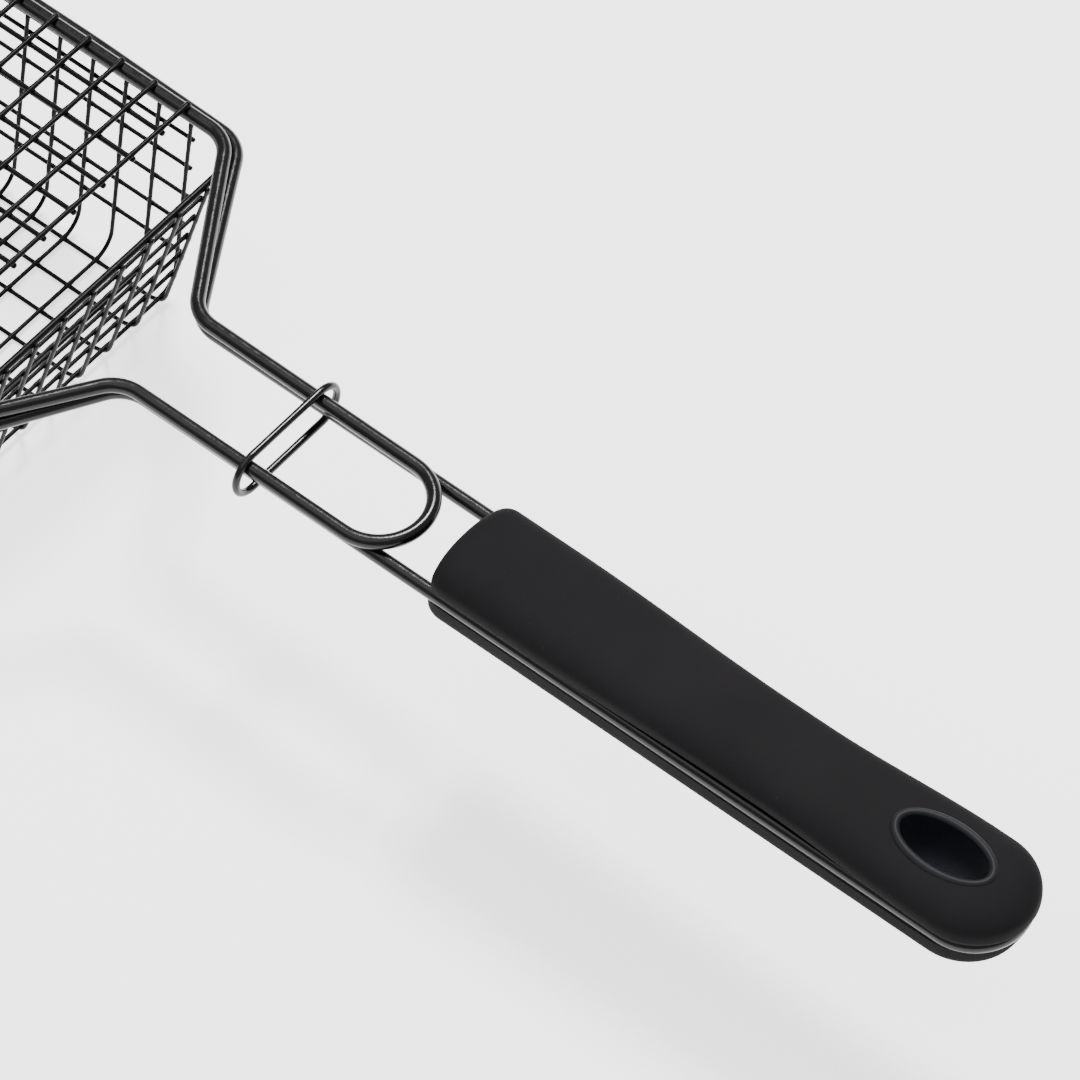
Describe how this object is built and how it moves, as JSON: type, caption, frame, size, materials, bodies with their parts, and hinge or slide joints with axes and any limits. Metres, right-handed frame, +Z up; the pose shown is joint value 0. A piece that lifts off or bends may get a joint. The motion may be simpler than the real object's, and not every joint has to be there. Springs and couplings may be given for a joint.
{
  "type": "grill basket",
  "caption": "Deep rectangular wire grill basket with a hinged mesh lid, a sliding lock ring on its wire neck and a flat oval plastic handle with a hang hole.",
  "frame": {"origin": "middle of the bounding box, on the plane that the floor wires of the basket rest on", "axes": "+X runs from the lid hinge to the tip of the handle, +Y to the left seen from the hinge towards the handle, +Z up"},
  "size_m": [0.5718, 0.148, 0.0836],
  "materials": {
    "heavy_wire": "satin black non-stick coating",
    "mesh_wire": "satin black non-stick coating",
    "ring_wire": "satin black non-stick coating",
    "grip_plastic": "fine grained matte black",
    "sleeve_plastic": "smooth satin black",
    "screw_steel": "plain"
  },
  "bodies": {
    "basket": {"basket_frame": "heavy_wire", "basket_rim": "mesh_wire", "cross_wire_1": "mesh_wire", "cross_wire_2": "mesh_wire", "cross_wire_3": "mesh_wire", "cross_wire_4": "mesh_wire", "cross_wire_5": "mesh_wire", "cross_wire_6": "mesh_wire", "cross_wire_7": "mesh_wire", "cross_wire_8": "mesh_wire", "cross_wire_9": "mesh_wire", "cross_wire_10": "mesh_wire", "cross_wire_11": "mesh_wire", "cross_wire_12": "mesh_wire", "cross_wire_13": "mesh_wire", "cross_wire_14": "mesh_wire", "cross_wire_15": "mesh_wire", "cross_wire_16": "mesh_wire", "long_wire_1": "mesh_wire", "long_wire_2": "mesh_wire", "long_wire_3": "mesh_wire", "long_wire_4": "mesh_wire", "long_wire_5": "mesh_wire", "long_wire_6": "mesh_wire", "long_wire_7": "mesh_wire", "long_wire_8": "mesh_wire", "long_wire_9": "mesh_wire", "long_wire_10": "mesh_wire", "near_wall_wires": "mesh_wire", "far_wall_wires": "mesh_wire", "left_wall_wires": "mesh_wire", "right_wall_wires": "mesh_wire", "grip_upper_shell": "grip_plastic", "grip_lower_shell": "grip_plastic", "hang_sleeve": "sleeve_plastic", "grip_screws": "screw_steel"},
    "lid": {"lid_frame": "heavy_wire", "lid_cross_wires": "mesh_wire", "lid_long_wires": "mesh_wire", "hinge_link_left": "ring_wire", "hinge_link_right": "ring_wire"},
    "lock": {"lock_ring": "ring_wire"}
  },
  "joints": [
    {"name": "lid_hinge", "type": "hinge", "parent": "basket", "child": "lid", "pos_m": [-0.28108, 0, 0.06998], "axis": [0, -1, 0], "range_deg": [0, 110]},
    {"name": "lock_slide", "type": "slide", "parent": "basket", "child": "lock", "axis": [1, 0, 0], "range_m": [-0.04, 0.0585]}
  ]
}
